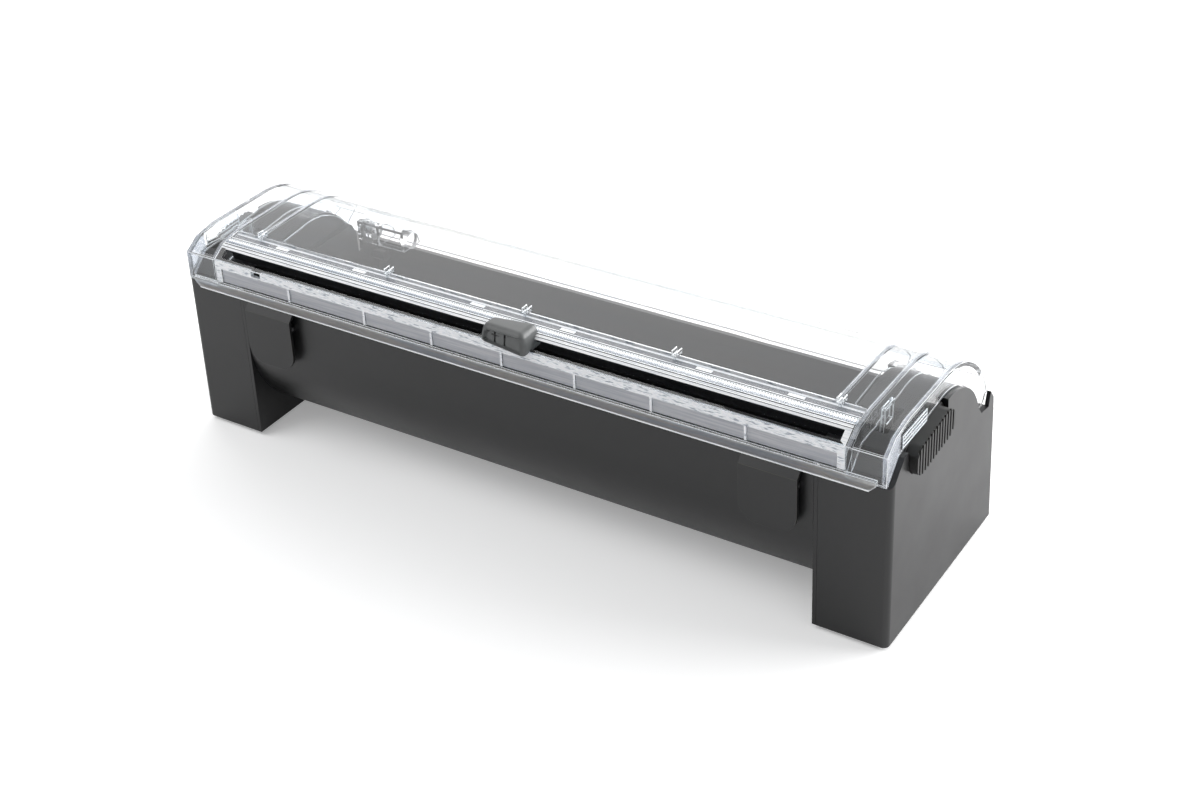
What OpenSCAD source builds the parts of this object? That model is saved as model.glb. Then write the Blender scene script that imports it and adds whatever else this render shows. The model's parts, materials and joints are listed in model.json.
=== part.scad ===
/* [Body] */
// Length over the outer faces of the two end housings
body_w = 390; // [370:1:420]
// Outer radius of the half-round trough, which sets the depth of the body
trough_r = 55.5; // [55:0.5:57]
// Height of the trough's lowest point above the floor
trough_rise = 2.3; // [2:0.1:3]
// Wall of the trough
trough_t = 2.4; // [2:0.1:2.6]
// Height of the straight front wall above the trough's axis
wall_h = 27.2; // [26.5:0.1:28]
// Length of each end housing, the leg seen from the front
cheek_w = 36; // [35:1:40]
// Wall of the end housings and of the cheek plates
housing_t = 2; // [1.8:0.1:2.2]
// How far the rear of the legs flares out at the floor
rear_flare = 3; // [1:0.5:5]
// Rise of the housings' rounded crown above the front wall
crown_rise = 14.2; // [14:0.1:14.8]
/* [Lid] */
// Rise of the lid's roof above the crown
lid_rise = 9.6; // [9:0.1:10]
// Wall of the clear lid
lid_wall = 2.2; // [2:0.1:2.4]
// Gap between the clear lid and the black body below it
lid_gap = 0.6; // [0.5:0.1:0.7]
/* [Cutter] */
// Width of the slot that the cutter slides in
slot_w = 5.2; // [5:0.1:5.4]
// Place of the knob along the slot, from the middle
knob_x = 2; // [-100:1:100]
// Length of the knob
knob_l = 30; // [26:1:34]
// How far the knob stands in front of the front wall
front_reach = 6; // [5.5:0.1:6.5]
/* [Buttons and tabs] */
// Length of each end button
button_l = 40; // [38:1:42]
// Height of each end button
button_h = 14.4; // [13:0.2:15]
// How far an end button stands out of its end panel
button_out = 3.6; // [3.4:0.1:4.4]
// Travel of an end button
button_travel = 3; // [2:0.1:3]
// Width of each front tab
tab_w = 28.4; // [26:0.2:30]
// Height of each front tab's plate
tab_h = 28.5; // [26:0.5:30]
/* [Hidden] */
$fn = 96;

// Cuts run past a face by this much
over = 1;
// Gap between pieces that are fixed to each other
seat = 0.1;
// Radial clearance of a running fit
run_fit = 0.05;
// Rounding of the legs' outer front edges
corner_r = 3;

// Heights, each from the one below it
trough_z = trough_r + trough_rise;
front_h = trough_z + wall_h;
crown_top = front_h + crown_rise;
lid_top = crown_top + lid_rise;

// Outline of the body, in Y and Z, with Y from the front wall backwards
shell_d = 2*trough_r;
rear_y = shell_d + rear_flare;
mid_y = (rear_y - front_reach)/2;
housing_z = 2.2;
chamfer_run = 11;
chamfer_share = 0.72;
chamfer_rise = chamfer_share*crown_rise;
chamfer_angle = atan2(chamfer_rise, chamfer_run);
chamfer_top = [chamfer_run, front_h + chamfer_rise];
crown_in = 18.3;
crown_r = trough_r - crown_in;
crown_shift = 1.5;
crown = [trough_r + crown_shift, crown_top - crown_r];
shoulder_back = 7;
shoulder_y = crown[0] - shoulder_back;
shoulder_z = crown[1] + sqrt(pow(crown_r, 2) - pow(shoulder_back, 2));
top_slope = atan2(shoulder_z - chamfer_top[1], shoulder_y - chamfer_top[0]);
crown_end = 19.4;
pocket_y = crown[0] + crown_r*cos(crown_end);
// Ends of straight edges that run on into the crown's disc
shoulder_in = [shoulder_y, shoulder_z] + shoulder_back/2*[1, tan(top_slope)];
pocket_in = 3;

// Arc of the lid, the hinge axis as shares of its radius, and the pocket below the hinge
lid_rear_gap = 1;
lid_shift = 2;
lid_r = shell_d - lid_rear_gap - crown[0] - lid_shift;
lid_arc = [crown[0] + lid_shift, lid_top - lid_r];
hinge_shares = [0.808, 0.328];
hinge = lid_arc + lid_r*hinge_shares;
hinge_inset = shell_d - hinge[0];
pocket_down = 10.5;
pocket_z = hinge[1] - pocket_down;
kink_down = 3;
kink_z = pocket_z - kink_down;
rear_wall_z = pocket_z;

// Notch and rim of the end panel around the hinge
notch_half = 4.2;
notch_front_drop = 5.3;
notch_rear_drop = 6.5;
notch_front = hinge + [-notch_half, -notch_front_drop];
crown_low = polar(crown, crown_r, crown_end);
notch_in = crown_low + (crown_low - notch_front)/2;
rim_peak = [6.3, 0.5];
rim_back = [10.1, -4.5];

// Lengthways places, from the middle of the body
end_x = body_w/2;
panel_x = end_x - housing_t;
cheek_x = end_x - cheek_w;
plate_x = cheek_x + housing_t;
trough_x = cheek_x - seat;

// Step outwards of the cheeks' inner face, behind the bar and above this height
crown_step = 3.5;
step_down = 3;
step_z = front_h - step_down;

// Bar along the top of the front wall
bed_seat = 3;
bed_y = 22;
bed_lip = 2.7;
bed_under = [13, 3.5];
bed_web = 1.4;
film_strip_y = 14;
film_strip_w = 3.5;
film_strip_t = 1.2;
film_strip_sink = 0.8;

// Lid outline, in Y and Z
lid_reach = 1;
lid_end_gap = 0.4;
lid_x = panel_x - lid_end_gap;
lid_end_t = 2.2;
corner_drop = 7.6;
facet_run = 8;
facet_rise = 5.4;
ramp_run = 13;
lid_corner = [-lid_reach, lid_top - corner_drop];
facet_top = lid_corner + [facet_run, facet_rise];
ramp_top = [facet_top[0] + ramp_run, lid_top];
facet_angle = atan2(facet_rise, facet_run);
ramp_angle = atan2(ramp_top[1] - facet_top[1], ramp_run);
seam_y = 18.6;
rear_angle = 12.5;
rear_angle_over_housing = 36;
rear_gap = 2.2;
rear_x = cheek_x - rear_gap;
lid_low = 1.2;
lobe_share = 2/3;
lobe_r = lobe_share*(hinge[0] - pocket_y);
end_wall_drop = 1;
rib_t = 2;
inner_rib_in = 21;
inner_rib_x = end_x - inner_rib_in;
crown_rib_x = cheek_x + seat;
crown_rib_low = 1;
crown_rib_angle = 43;

// Front lip and window of the lid
lip_out = 1.2;
lip_drop = 2;
lip_in = 0.6;
lip_top = 4.2;
lip_chamfer = 0.8;
lip_end = 6.5;
lip_x = end_x - lip_end;
lip_cut = 3.5;
bar_h = 4.5;
window_recess = 0.8;
window_rib_t = 1.2;
window_rib_shares = [-0.73, -0.46, -0.23, 0, 0.23, 0.46, 0.73];
window_frame_w = 3.6;

// Track, slot, rail and clips: the rail lies lower than the roof, whose front edge shows above it
track_rise = 0.6;
track_angle = atan2(track_rise, ramp_run);
track_gap = 0.4;
track_x = inner_rib_x - track_gap;
slot_share = 0.465;
slot = lid_corner + slot_share*[facet_run, facet_rise];
slot_end = 3;
slot_x = track_x - slot_end;
ridge = 0.5;
ridge_shares = [0.32, 0.41, 0.71];
strip_y = 8.7;
strip_w = 3.4;
strip_t = 1.2;
strip_sink = 0.75;
flange_y = 12.2;
flange_t = 1.6;
flange_gap = 0.6;
light_w = 8;
light_d = 2.2;
light_y = 14.6;
light_shares = [-0.82, -0.541, -0.135, 0.154, 0.563, 0.822];
bar_window_share = -0.848;
bar_window_w = 6;
bar_window_h = 3;
clip_shares = [-0.907, -0.447, 0.014, 0.474, 0.936];
clip_t = 0.8;
clip_l = 4.4;
clip_h = 3;
clip_base = 0.7;
clip_gap = 1.8;

// Hinge brackets and pins
pin_r = 1.6;
pin_head_r = 2.7;
pin_head_t = 1.4;
ear_r = 3.6;
lug_r = 4.4;
lug_l = 6;
bracket_gap = 1;
bracket_out = cheek_x - bracket_gap;
bracket_l = 30.8;
short_bracket_l = 9;
bracket_front = 8.2;
bracket_high = 8.5;
bracket_low = 3.2;
bracket_bar = 1.6;
bracket_side = 1.8;
bracket_shares = [0, 0.56, 1];
short_bracket_shares = [0, 1];

// Cutter
carriage_l = 12;
carriage_front = 3.1;
carriage_back = 4.3;
carriage_gap = 0.3;
carriage_t = 1.6;
stem_clear = 0.15;
stem_up = 4;
blade_w = 12;
blade_t = 0.5;
blade_dip = 1.5;
blade_shoulder = 5;
leg_t = 1.3;
leg_h = 3.6;
screw_r = 0.8;
screw_head_r = 1.5;
screw_head_t = 0.9;
channel_front = 0.9;
channel_back = 2.6;
channel_deep = 2.6;
knob_gap = 0.4;
knob_body = slot + [1.9, 2.7];
knob_body_d = 8;
knob_body_h = 4.8;
knob_body_r = [knob_l/2, knob_body_d, knob_body_h];
knob_nose = slot + [-2.1, -1.2];
knob_nose_share = 0.31;
knob_nose_h = 3.9;
knob_nose_r = [knob_nose_share*knob_l, knob_nose[0] + front_reach, knob_nose_h];

// End buttons
button_y = 36;
button_face = end_x + button_out;
button_edge = chamfer_top[1] + (button_y - chamfer_top[0])*tan(top_slope);
button_sink = 0.15;
button_z = button_edge - button_sink - button_h/2/cos(top_slope);
button_fit = 0.4;
flange_over = 1.5;
button_flange_t = 1.5;
button_gap = 0.3;
button_back = panel_x - button_gap;
button_ribs = 14;
button_rib_h = 0.8;
button_rib_share = 0.5;
rib_pitch = button_l/button_ribs;

// Catch fingers of the lid
catch_inset = 17;
catch_in = end_x - catch_inset;
catch_t = 2;
catch_y = 23.8;
catch_w = 10;
catch_nose = 1.2;
catch_nose_h = 2.5;
catch_deep = 10.4;
catch_bottom = bed_z(catch_y) - catch_deep;
catch_window_w = 6;
catch_window_low = bed_z(catch_y) + catch_t;
catch_window_h = lid_top - lid_wall - seat - catch_t - catch_window_low;
catch_slot_gap = 1.4;
catch_slot_fit = 0.5;
catch_slot_back = 6;

// Tongue of each end button, pointing at the catch finger
tongue_w = 7.4;
tongue_h = 3.4;
tongue_gap = 0.4;
tongue_y = catch_y + (catch_w - tongue_w)/2;
tongue_z = catch_bottom + catch_nose_h + tongue_gap;

// Button guides and springs
peg_r = 1.8;
peg_back = 10;
peg_down = 2;
peg = [button_y + peg_back, button_z - peg_down];
guide_t = 2;
guide_inset = 16.4;
guide_x = end_x - guide_inset;
guide_front = 9;
guide_back = 13;
guide_down = 17;
guide_up = 4;
guide_post_in = 5;
guide_post_r = 3;
guide_post_y = [peg[0] - guide_front + guide_post_in, peg[0] + guide_back - guide_post_in];
guide_post_z = peg[1] - guide_down + guide_post_in;
spring_r = 3.2;
spring_wall = 0.9;
spring_gap = 0.15;

// Base plates, feet and screws
base_inset = 2.4;
base_z = 0.8;
base_top = 4.6;
post_r = 4.8;
post_in = 4.4;
post_h = 25;
post_x = [plate_x + post_r + seat, panel_x - post_in];
post_y = [housing_t + post_in, shell_d - housing_t - post_in];
foot_r = 6;
foot_h = 1.8;
foot_x = (cheek_x + end_x)/2;
foot_in = 16;
foot_y = [foot_in, rear_y - foot_in];
side_post_front = [6.5, 4.2];
side_post_out = 5;
side_post_angle = -40;
side_posts = [[side_post_front[0], trough_z + side_post_front[1]],
    polar([trough_r, trough_z], trough_r + side_post_out, side_post_angle)];
side_post_r = 3.4;
self_r = 1.25;
self_hole = 1.3;
self_clear = 1.6;
self_head_r = 2.6;
self_head_t = 1.5;
boss_r = 3.2;
boss_l = 8;
boss_in = 5.4;
boss_high = 18.2;
boss_low = 7;
boss_up = 5;
boss_places = [[boss_in, trough_z + boss_high], [trough_r, trough_rise + boss_up],
    [shell_d - boss_in, pocket_z - boss_low]];
// Length of thread that a screw takes in its post, and the space below its tip
screw_reach = 8;
screw_space = 1;

// Front tabs
tab_inset = 5.4;
tab_x = cheek_x - tab_inset - tab_w/2;
tab_face = 5;
tab_t = 1.6;
tab_down = 2.3;
tab_top = front_h - tab_down;
tab_ledge = [2.9, 3.2];
tab_low = tab_top - tab_ledge[1] - tab_h;
tab_inner = 0.6;
tab_corner = 9;
tab_pin_out = 1.7;
tab_pin_down = 8.7;
tab_pin = [-tab_pin_out, tab_top - tab_pin_down];
tab_pin_r = 0.75;
tab_boss_r = 1.35;
tab_ear_in = 1.8;
tab_ear_x = tab_w/2 - tab_ear_in;
tab_ear_t = 1.4;
tab_ear_out = 2.9;
tab_ear_h = 3;
tab_spring_down = 13;
tab_spring_r = 2.2;

// Corner of a sloping outline moved inwards by t, where slope a turns into slope b
function inset_corner(p, a, b, t) =
    let (d = t*(1/cos(a) - 1/cos(b))/(tan(a) - tan(b))) [p[0] + d, p[1] + d*tan(b) - t/cos(b)];
// The same where an upright line turns into slope a
function inset_first(p, a, t) = [p[0] + t, p[1] + t*(tan(a) - 1/cos(a))];
function polar(c, r, a) = c + r*[cos(a), sin(a)];
function bed_z(y) = chamfer_top[1] + (y - chamfer_top[0])*tan(top_slope);
function rail_z(y) = facet_top[1] + (y - facet_top[0])*tan(y < facet_top[0] ? facet_angle : track_angle);

// The body frame has its origin below the middle of the whole part
module placed() translate([0, -mid_y, 0]) children();
// Extrudes an outline drawn in Y and Z from x0 to x1
module band(x0, x1) translate([x0, 0, 0]) rotate([90, 0, 90]) linear_extrude(x1 - x0) children();
// Rod along X
module rod(x0, x1, c, r) translate([x0, c[0], c[1]]) rotate([0, 90, 0]) cylinder(h = x1 - x0, r = r);
// Block between two corners
module block(a, b) translate(a) cube(b - a);
// A pair of the right-hand piece and its mirror image
module both() { children(); mirror([1, 0, 0]) children(); }
// Slice of a disc
module slice(c, r, a0, a1) intersection() {
    translate(c) circle(r);
    polygon([c, polar(c, 2*r, a0), polar(c, 2*r, (a0 + a1)/2), polar(c, 2*r, a1)]);
}
module on_facet() translate([0, slot[0], slot[1]]) rotate([facet_angle, 0, 0]) children();
module at_knob() translate([knob_x, 0, 0]) on_facet() children();

// Part of the crown's disc from its shoulder back to y1
module crown_disc(r, y1) intersection() {
    translate(crown) circle(r);
    polygon([[shoulder_y - shoulder_back, pocket_z - shoulder_back], [shoulder_y - shoulder_back, lid_top],
        [y1, lid_top], [y1, pocket_z - shoulder_back]]);
}
// Outline of a housing moved inwards by t, from height z0 up
module cheek_outline(t, z0) {
    polygon([[t, z0], inset_first([0, front_h], chamfer_angle, t),
        inset_corner(chamfer_top, chamfer_angle, top_slope, t), shoulder_in - [0, t/cos(top_slope)],
        crown, [pocket_y - t, pocket_z + pocket_in], [pocket_y - t, pocket_z - t],
        [shell_d - t, pocket_z - t], [shell_d - t, kink_z - 2*t], [rear_y - t, z0]]);
    crown_disc(crown_r - t, pocket_y - t);
}
// Where the cheeks' inner face steps outwards, grown by g, and the ledge below it
module step_area(g) polygon([[seam_y - lid_gap - g, step_z - g], [seam_y - lid_gap - g, lid_top],
    [shell_d, lid_top], [shell_d, step_z - g]]);
module ledge_outline() intersection() {
    cheek_outline(housing_t + seat, housing_z);
    difference() { step_area(housing_t); step_area(0); }
}
// Outline of the end panel, with the hinge notch and the rear rim
module panel_outline() {
    polygon([[0, housing_z], [0, front_h], chamfer_top, shoulder_in, crown, notch_in, notch_front,
        hinge + [notch_half, -notch_rear_drop], hinge + rim_peak, hinge + rim_back,
        [shell_d, kink_z], [rear_y, housing_z]]);
    crown_disc(crown_r, shell_d);
}
// Solid section of the trough, moved inwards by t
module trough_outline(t) {
    slice([trough_r, trough_z], trough_r - t, 180, 360);
    polygon([[t, trough_z], [t, front_h], [shell_d - t, front_h], [shell_d - t, trough_z]]);
}
// Solid section under the lid's outside, moved inwards by t
module lid_region(t) {
    polygon([[t - lid_reach, lid_arc[1]], inset_first(lid_corner, facet_angle, t),
        inset_corner(facet_top, facet_angle, ramp_angle, t), inset_corner(ramp_top, ramp_angle, 0, t),
        [lid_arc[0], lid_top - t], lid_arc]);
    slice(lid_arc, lid_r - t, 0, 90);
}
module lid_ring() difference() { lid_region(0); lid_region(lid_wall); }
// Section of the track down to the bar's lower edge
module track_outline() intersection() {
    difference() { track_region(0); track_region(lid_wall); }
    translate([-lid_reach - over, lid_corner[1] - bar_h])
        square([seam_y - seat + lid_reach + over, lid_top]);
}
module track_region(t) polygon([[t - lid_reach, lid_arc[1]], inset_first(lid_corner, facet_angle, t),
    inset_corner(facet_top, facet_angle, track_angle, t), [seam_y, rail_z(seam_y) - t/cos(track_angle)],
    [seam_y, lid_arc[1]]]);
// Everything behind y0 and above the ray at this angle from the lid's arc centre
module rear_mask(y0, angle) polygon([[y0, lid_arc[1]], [y0, lid_top + over],
    [shell_d + over, lid_top + over], polar(lid_arc, 2*lid_r, angle), lid_arc]);
module wall_outline() difference() {
    lid_region(0);
    cheek_outline(-lid_gap, lid_arc[1] - over);
    polygon([[-lid_reach - over, 0], [-lid_reach - over, front_h + lid_low],
        [lid_wall, front_h + lid_low], [lid_wall, 0]]);
    polygon([[pocket_y - over, 0], [pocket_y - over, hinge[1] - end_wall_drop],
        [shell_d + over, hinge[1] - end_wall_drop], [shell_d + over, 0]]);
}
// Stadium of the end button, grown by g
module stadium(g) translate([button_y, button_z]) rotate(top_slope) {
    for (s = [-1, 1]) translate([s*(button_l - button_h)/2, 0]) circle(button_h/2 + g);
    square([button_l - button_h, button_h + 2*g], center = true);
}
module stadium_open(g) {
    stadium(g);
    translate([button_y, button_z]) rotate(top_slope)
        translate([-button_l/2 - g, 0]) square([button_l + 2*g, button_h]);
}
module self_screw(x0, x1, c) { rod(x0, x1, c, self_r); rod(x1, x1 + self_head_t, c, self_head_r); }

module trough() color([0.17, 0.17, 0.175]) placed() difference() {
    union() {
        band(-trough_x, trough_x) difference() {
            trough_outline(0);
            trough_outline(trough_t);
            polygon([[-over, front_h - bed_seat], [-over, front_h + over], [shell_d/2, front_h + over],
                [shell_d/2, front_h - bed_seat]]);
            polygon([[shell_d/2, rear_wall_z], [shell_d/2, front_h + over],
                [shell_d + over, front_h + over], [shell_d + over, rear_wall_z]]);
            polygon([[trough_t, trough_z - over], [trough_t, front_h + over],
                [shell_d - trough_t, front_h + over], [shell_d - trough_t, trough_z - over]]);
        }
        both() for (c = boss_places) rod(trough_x - boss_l, trough_x, c, boss_r);
        both() for (s = [-1, 1]) translate([tab_x + s*tab_ear_x, 0, 0])
            block([-tab_ear_t/2, -tab_ear_out, tab_pin[1] - tab_ear_h/2],
                [tab_ear_t/2, trough_t/2, tab_pin[1] + tab_ear_h/2]);
    }
    both() for (c = boss_places) rod(trough_x - boss_l + over, trough_x + over, c, self_hole);
    both() rod(tab_x - tab_w/2, tab_x + tab_w/2, tab_pin, tab_pin_r);
    difference() {
        band(-trough_x - over, trough_x + over) translate([-over, -over])
            square([shell_d + 2*over, trough_z + over]);
        band(-trough_x - 2*over, trough_x + 2*over) slice([trough_r, trough_z], trough_r, 180, 360);
    }
}

module cutting_bed() color([0.15, 0.15, 0.155]) placed() difference() {
    band(-trough_x, trough_x) polygon([[0, front_h - bed_seat], [0, front_h], chamfer_top,
        [bed_y, bed_z(bed_y)], [bed_y, bed_z(bed_y) - bed_lip], [bed_under[0], front_h + bed_under[1]],
        [trough_t, front_h - bed_web], [trough_t, front_h - bed_seat]]);
    on_facet() translate([-trough_x - over, -channel_front, -channel_reach - channel_deep])
        cube([2*(trough_x + over), channel_front + channel_back, channel_deep + 2*over]);
    band(-trough_x - over, trough_x + over) film_strip_outline(seat, over);
}
// Distance from the slot's middle to the bed's chamfer, square to the facet
channel_reach = (slot[1] - front_h - slot[0]*tan(chamfer_angle))
    /(cos(facet_angle) + sin(facet_angle)*tan(chamfer_angle));
module film_strip_outline(g, up) polygon([
    [film_strip_y - g, film_z(-g) - g], [film_strip_y + film_strip_w + g, film_z(film_strip_w + g) - g],
    [film_strip_y + film_strip_w + g, film_z(film_strip_w + g) + up + film_strip_t],
    [film_strip_y - g, film_z(-g) + up + film_strip_t]]);
// Height of the grip strip's underside at this distance behind its front edge
function film_z(d) = bed_z(film_strip_y + d) - film_strip_sink;
module film_grip_strip() color([0.1, 0.1, 0.1]) placed()
    band(seat - trough_x, trough_x - seat) film_strip_outline(0, 0);

module end_housing() difference() {
    union() {
        band(panel_x, end_x) panel_outline();
        difference() {
            band(plate_x, end_x) cheek_outline(0, housing_z);
            band(plate_x - over, panel_x) cheek_outline(housing_t, housing_z - over);
            band(plate_x - over, plate_x + crown_step) step_area(seat);
        }
        intersection() {
            band(plate_x, end_x) cheek_outline(0, base_top);
            for (x = post_x, y = post_y) translate([x, y, base_top]) cylinder(h = post_h, r = post_r);
        }
        for (c = side_posts) rod(plate_x, end_x - over, c, side_post_r);
        for (y = guide_post_y) rod(guide_x + guide_t, end_x - over, [y, guide_post_z], guide_post_r);
    }
    for (x = post_x, y = post_y) translate([x, y, base_top - over])
        cylinder(h = over + screw_reach + screw_space, r = self_hole);
    for (c = side_posts) rod(plate_x - over, plate_x + screw_reach + screw_space, c, self_hole);
    for (y = guide_post_y)
        rod(guide_x, guide_x + guide_t + screw_reach + screw_space, [y, guide_post_z], self_hole);
    difference() {
        block([end_x - corner_r, -over, -over], [end_x + over, corner_r, front_h + corner_r]);
        translate([end_x - corner_r, corner_r, -2*over]) cylinder(h = front_h + 2*corner_r, r = corner_r);
    }
    band(button_back - button_flange_t - button_travel - button_fit, end_x + over) stadium_open(button_fit);
    block([catch_in - catch_slot_gap, catch_y - catch_slot_fit, tongue_z],
        [catch_in + catch_t + catch_nose + catch_slot_fit, catch_y + catch_w + catch_slot_back,
            crown_top + over]);
}
module left_end_housing() color([0.16, 0.16, 0.165]) placed() mirror([1, 0, 0]) end_housing();
module right_end_housing() color([0.16, 0.16, 0.165]) placed() end_housing();

module cheek_plate() difference() {
    union() {
        band(cheek_x, plate_x - seat) difference() { cheek_outline(0, housing_z); step_area(0); }
        band(cheek_x + crown_step, plate_x + crown_step - seat) {
            intersection() { cheek_outline(0, housing_z); step_area(0); }
            ledge_outline();
        }
        band(cheek_x, plate_x + crown_step - seat) ledge_outline();
        rod(cheek_x, plate_x - seat, hinge, ear_r);
        band(cheek_x, plate_x - seat) polygon([hinge + [-ear_r, 0], hinge + [ear_r, 0],
            [hinge[0] + ear_r + over, pocket_z - over], [hinge[0] - ear_r - over, pocket_z - over]]);
    }
    rod(cheek_x - over, plate_x + over, hinge, pin_r);
    for (c = boss_places) rod(cheek_x - over, plate_x + over, c, self_clear);
    for (c = side_posts) rod(cheek_x - over, plate_x + over, c, self_clear);
}
module left_cheek_plate() color([0.18, 0.18, 0.185]) placed() mirror([1, 0, 0]) cheek_plate();
module right_cheek_plate() color([0.18, 0.18, 0.185]) placed() cheek_plate();

module base_plate() difference() {
    block([cheek_x + base_inset, base_inset, base_z],
        [end_x - base_inset, rear_y - base_inset - seat, base_top]);
    for (x = post_x, y = post_y) translate([x, y, 0]) {
        cylinder(h = base_top + over, r = self_clear);
        cylinder(h = base_z + self_head_t + seat, r = self_head_r + seat);
    }
    for (y = foot_y) translate([foot_x, y, 0]) cylinder(h = foot_h, r = foot_r + seat/2);
}
module left_base_plate() color([0.13, 0.13, 0.13]) placed() mirror([1, 0, 0]) base_plate();
module right_base_plate() color([0.13, 0.13, 0.13]) placed() base_plate();
module rubber_feet() color([0.08, 0.08, 0.08]) placed() both()
    for (y = foot_y) translate([foot_x, y, 0]) cylinder(h = foot_h, r = foot_r);

module base_screws() color([0.6, 0.6, 0.6]) placed() both()
    for (x = post_x, y = post_y) translate([x, y, base_z]) {
        cylinder(h = self_head_t, r = self_head_r);
        cylinder(h = base_top - base_z + screw_reach, r = self_r);
    }
module trough_screws() color([0.6, 0.6, 0.6]) placed() both()
    for (c = boss_places) self_screw(trough_x - boss_l + screw_space + over, plate_x, c);
module cheek_screws() color([0.6, 0.6, 0.6]) placed() both()
    for (c = side_posts) {
        rod(cheek_x, plate_x + screw_reach, c, self_r);
        rod(cheek_x - self_head_t, cheek_x, c, self_head_r);
    }
module guide_screws() color([0.6, 0.6, 0.6]) placed() both() for (y = guide_post_y) {
    rod(guide_x, guide_x + guide_t + screw_reach, [y, guide_post_z], self_r);
    rod(guide_x - self_head_t, guide_x, [y, guide_post_z], self_head_r);
}
module hinge_pins() color([0.7, 0.7, 0.7]) placed() both() {
    rod(bracket_out - lug_l, plate_x, hinge, pin_r);
    rod(plate_x, plate_x + pin_head_t, hinge, pin_head_r);
}

module button_guide() difference() {
    block([guide_x, peg[0] - guide_front, peg[1] - guide_down],
        [guide_x + guide_t, peg[0] + guide_back, peg[1] + guide_up]);
    rod(guide_x - over, guide_x + guide_t + over, peg, peg_r + run_fit);
    for (y = guide_post_y) rod(guide_x - over, guide_x + guide_t + over, [y, guide_post_z], self_clear);
}
module left_button_guide() color([0.75, 0.75, 0.72]) placed() mirror([1, 0, 0]) button_guide();
module right_button_guide() color([0.75, 0.75, 0.72]) placed() button_guide();
module button_spring() difference() {
    rod(guide_x + guide_t + spring_gap, button_back - button_flange_t - spring_gap, peg, spring_r);
    rod(guide_x, end_x, peg, spring_r - spring_wall);
}
module left_button_spring() color([0.7, 0.7, 0.7]) placed() mirror([1, 0, 0]) button_spring();
module right_button_spring() color([0.7, 0.7, 0.7]) placed() button_spring();

module button() {
    band(button_back - button_flange_t, button_face - button_rib_h) stadium(0);
    intersection() {
        band(button_face - button_rib_h - over, button_face) stadium(0);
        for (i = [0:button_ribs - 1])
            translate([end_x, button_y - button_l/2 + (i + (1 - button_rib_share)/2)*rib_pitch, 0])
                cube([2*button_out, button_rib_share*rib_pitch, lid_top]);
    }
    band(button_back - button_flange_t, button_back) intersection() {
        stadium(flange_over);
        translate([button_y, button_z]) rotate(top_slope)
            translate([-button_l, -button_h]) square([2*button_l, 1.5*button_h]);
    }
    block([catch_in + catch_t + tongue_gap + button_travel, tongue_y, tongue_z],
        [button_back, tongue_y + tongue_w, tongue_z + tongue_h]);
    rod(guide_x - button_travel/2, button_back, peg, peg_r);
}
module left_button() color([0.14, 0.14, 0.13]) placed() mirror([1, 0, 0]) button();
module right_button() color([0.14, 0.14, 0.13]) placed() button();

module lid_shell() color([0.85, 0.9, 0.95, 0.45]) placed() {
    band(-rear_x, rear_x) intersection() { lid_ring(); rear_mask(seam_y, rear_angle); }
    both() {
        band(rear_x, lid_x) intersection() { lid_ring(); rear_mask(seam_y, rear_angle_over_housing); }
        band(inner_rib_x, lid_x) intersection() {
            lid_ring();
            translate([-lid_reach - over, front_h + lid_low]) square([seam_y + lid_reach + over, lid_top]);
        }
        band(lid_x - lid_end_t, lid_x) { wall_outline(); translate(hinge) circle(lobe_r); }
        band(inner_rib_x, inner_rib_x + rib_t) intersection() {
            wall_outline();
            rear_mask(-lid_reach - over, rear_angle_over_housing);
        }
        band(crown_rib_x, crown_rib_x + rib_t) intersection() {
            difference() { lid_region(0); cheek_outline(crown_rib_low, lid_arc[1] - over); }
            rear_mask(seam_y, crown_rib_angle);
        }
    }
    intersection() {
        band(-lid_x, lid_x) polygon([[-lid_reach - lip_out, front_h - lip_drop],
            [-lid_reach - lip_out, front_h + lip_top - lip_chamfer],
            [-lid_reach - lip_out + lip_chamfer, front_h + lip_top],
            [lid_wall - lid_reach, front_h + lip_top],
            [lid_wall - lid_reach, front_h + lid_low + over], [-lip_in, front_h + lid_low + over],
            [-lip_in, front_h - lip_drop]]);
        rotate([90, 0, 0]) translate([0, 0, -2*lid_wall]) linear_extrude(4*lid_wall) polygon([
            [lip_cut - lip_x, 0], [lip_cut - lip_x, front_h - lip_drop],
            [-lip_x, front_h - lip_drop + lip_cut],
            [-lip_x, lid_top], [lip_x, lid_top], [lip_x, front_h - lip_drop + lip_cut],
            [lip_x - lip_cut, front_h - lip_drop], [lip_x - lip_cut, 0]]);
    }
}

module cutter_track() color([0.85, 0.9, 0.95, 0.45]) placed() difference() {
    union() {
        band(-track_x, track_x) {
            track_outline();
            translate([window_recess - lid_reach, front_h + lip_top + seat])
                square([lid_wall - window_recess, lid_corner[1] - bar_h - front_h - lip_top]);
            for (share = ridge_shares) translate([share*seam_y, rail_z(share*seam_y) - ridge])
                square([ridge, 1.8*ridge]);
            translate([flange_y, bed_z(flange_y) + flange_gap])
                square([flange_t, rail_z(flange_y) - lid_wall/2 - bed_z(flange_y) - flange_gap]);
        }
        for (share = window_rib_shares) window_rib(share*track_x, window_rib_t);
        for (s = [-1, 1]) window_rib(s*(track_x - window_frame_w/2), window_frame_w);
    }
    on_facet() translate([-slot_x, -slot_w/2, -lid_wall - over]) cube([2*slot_x, slot_w, lid_wall + 3*over]);
    band(-track_x - over, track_x + over) strip_outline(seat, over);
    for (share = light_shares) translate([share*track_x, light_y, rail_z(light_y)])
        block([-light_w/2, 0, -2*lid_wall], [light_w/2, light_d, lid_wall]);
    translate([bar_window_share*track_x, 0, lid_corner[1] - bar_h/2])
        block([-bar_window_w/2, -2*lid_reach, -bar_window_h/2],
            [bar_window_w/2, 2*lid_wall, bar_window_h/2]);
}
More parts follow.
